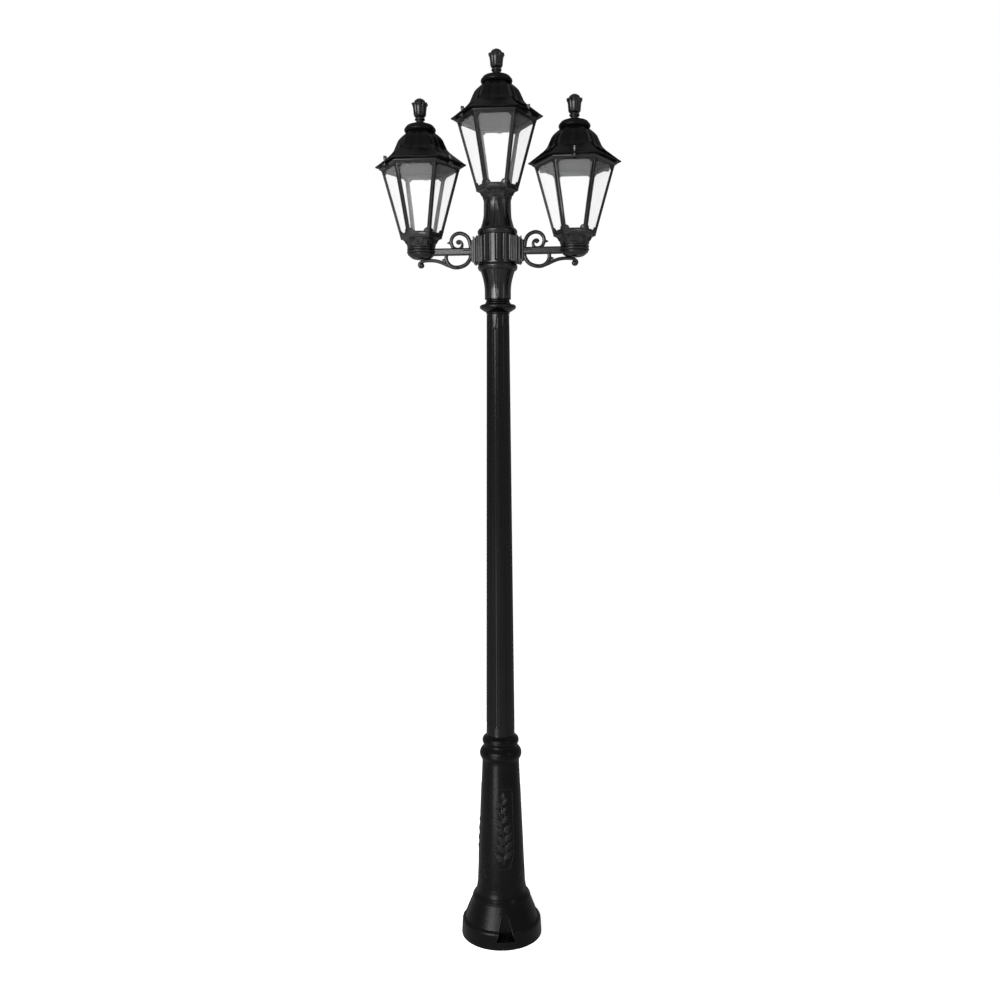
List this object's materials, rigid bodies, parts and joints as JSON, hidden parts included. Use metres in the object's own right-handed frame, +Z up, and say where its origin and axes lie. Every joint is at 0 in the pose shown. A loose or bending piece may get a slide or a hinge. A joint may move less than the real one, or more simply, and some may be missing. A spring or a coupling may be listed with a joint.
{
  "type": "lamp post",
  "caption": "Garden lamp post: fluted tapered pole on a bell base, a raised centre lantern and a lantern on each scrolled side arm, all six-sided with lift-off roofs.",
  "frame": {"origin": "centre of the base, on the ground", "axes": "+Z up, the two arms along X, front towards -Y"},
  "size_m": [0.6554, 0.223, 2.405],
  "materials": {
    "black_resin": "semi-gloss, fine cast grain",
    "pane": "thin milky clear plastic",
    "holder": "glazed",
    "rubber": "matte",
    "steel": "bright",
    "terminal": "matte"
  },
  "bodies": {
    "post": {"foot_plate": "steel", "inner_mast": "steel", "base_bell": "black_resin", "base_shaft": "black_resin", "base_collar": "black_resin", "pole_sleeve": "black_resin", "pole_knop": "black_resin", "hub_capital": "black_resin", "hub_drum": "black_resin", "hub_neck": "black_resin", "terminal_block": "terminal", "arm_left": "black_resin", "arm_screws_left": "steel", "socket_cup_left": "black_resin", "arm_right": "black_resin", "arm_screws_right": "steel", "socket_cup_right": "black_resin", "frame_left": "black_resin", "diffuser_left": "pane", "lampholder_left": "holder", "gasket_left": "rubber", "frame_middle": "black_resin", "diffuser_middle": "pane", "lampholder_middle": "holder", "gasket_middle": "rubber", "frame_right": "black_resin", "diffuser_right": "pane", "lampholder_right": "holder", "gasket_right": "rubber"},
    "roof_left": {"roof_left": "black_resin", "vent_cap_left": "black_resin", "finial_left": "black_resin", "thumb_screws_left": "steel"},
    "roof_middle": {"roof_middle": "black_resin", "vent_cap_middle": "black_resin", "finial_middle": "black_resin", "thumb_screws_middle": "steel"},
    "roof_right": {"roof_right": "black_resin", "vent_cap_right": "black_resin", "finial_right": "black_resin", "thumb_screws_right": "steel"}
  },
  "joints": [
    {"name": "roof_lift_left", "type": "slide", "parent": "post", "child": "roof_left", "axis": [-0.4067, 0, 0.9135], "range_m": [0, 0.25]},
    {"name": "roof_lift_middle", "type": "slide", "parent": "post", "child": "roof_middle", "axis": [0, 0, 1], "range_m": [0, 0.25]},
    {"name": "roof_lift_right", "type": "slide", "parent": "post", "child": "roof_right", "axis": [0.4067, 0, 0.9135], "range_m": [0, 0.25]}
  ]
}
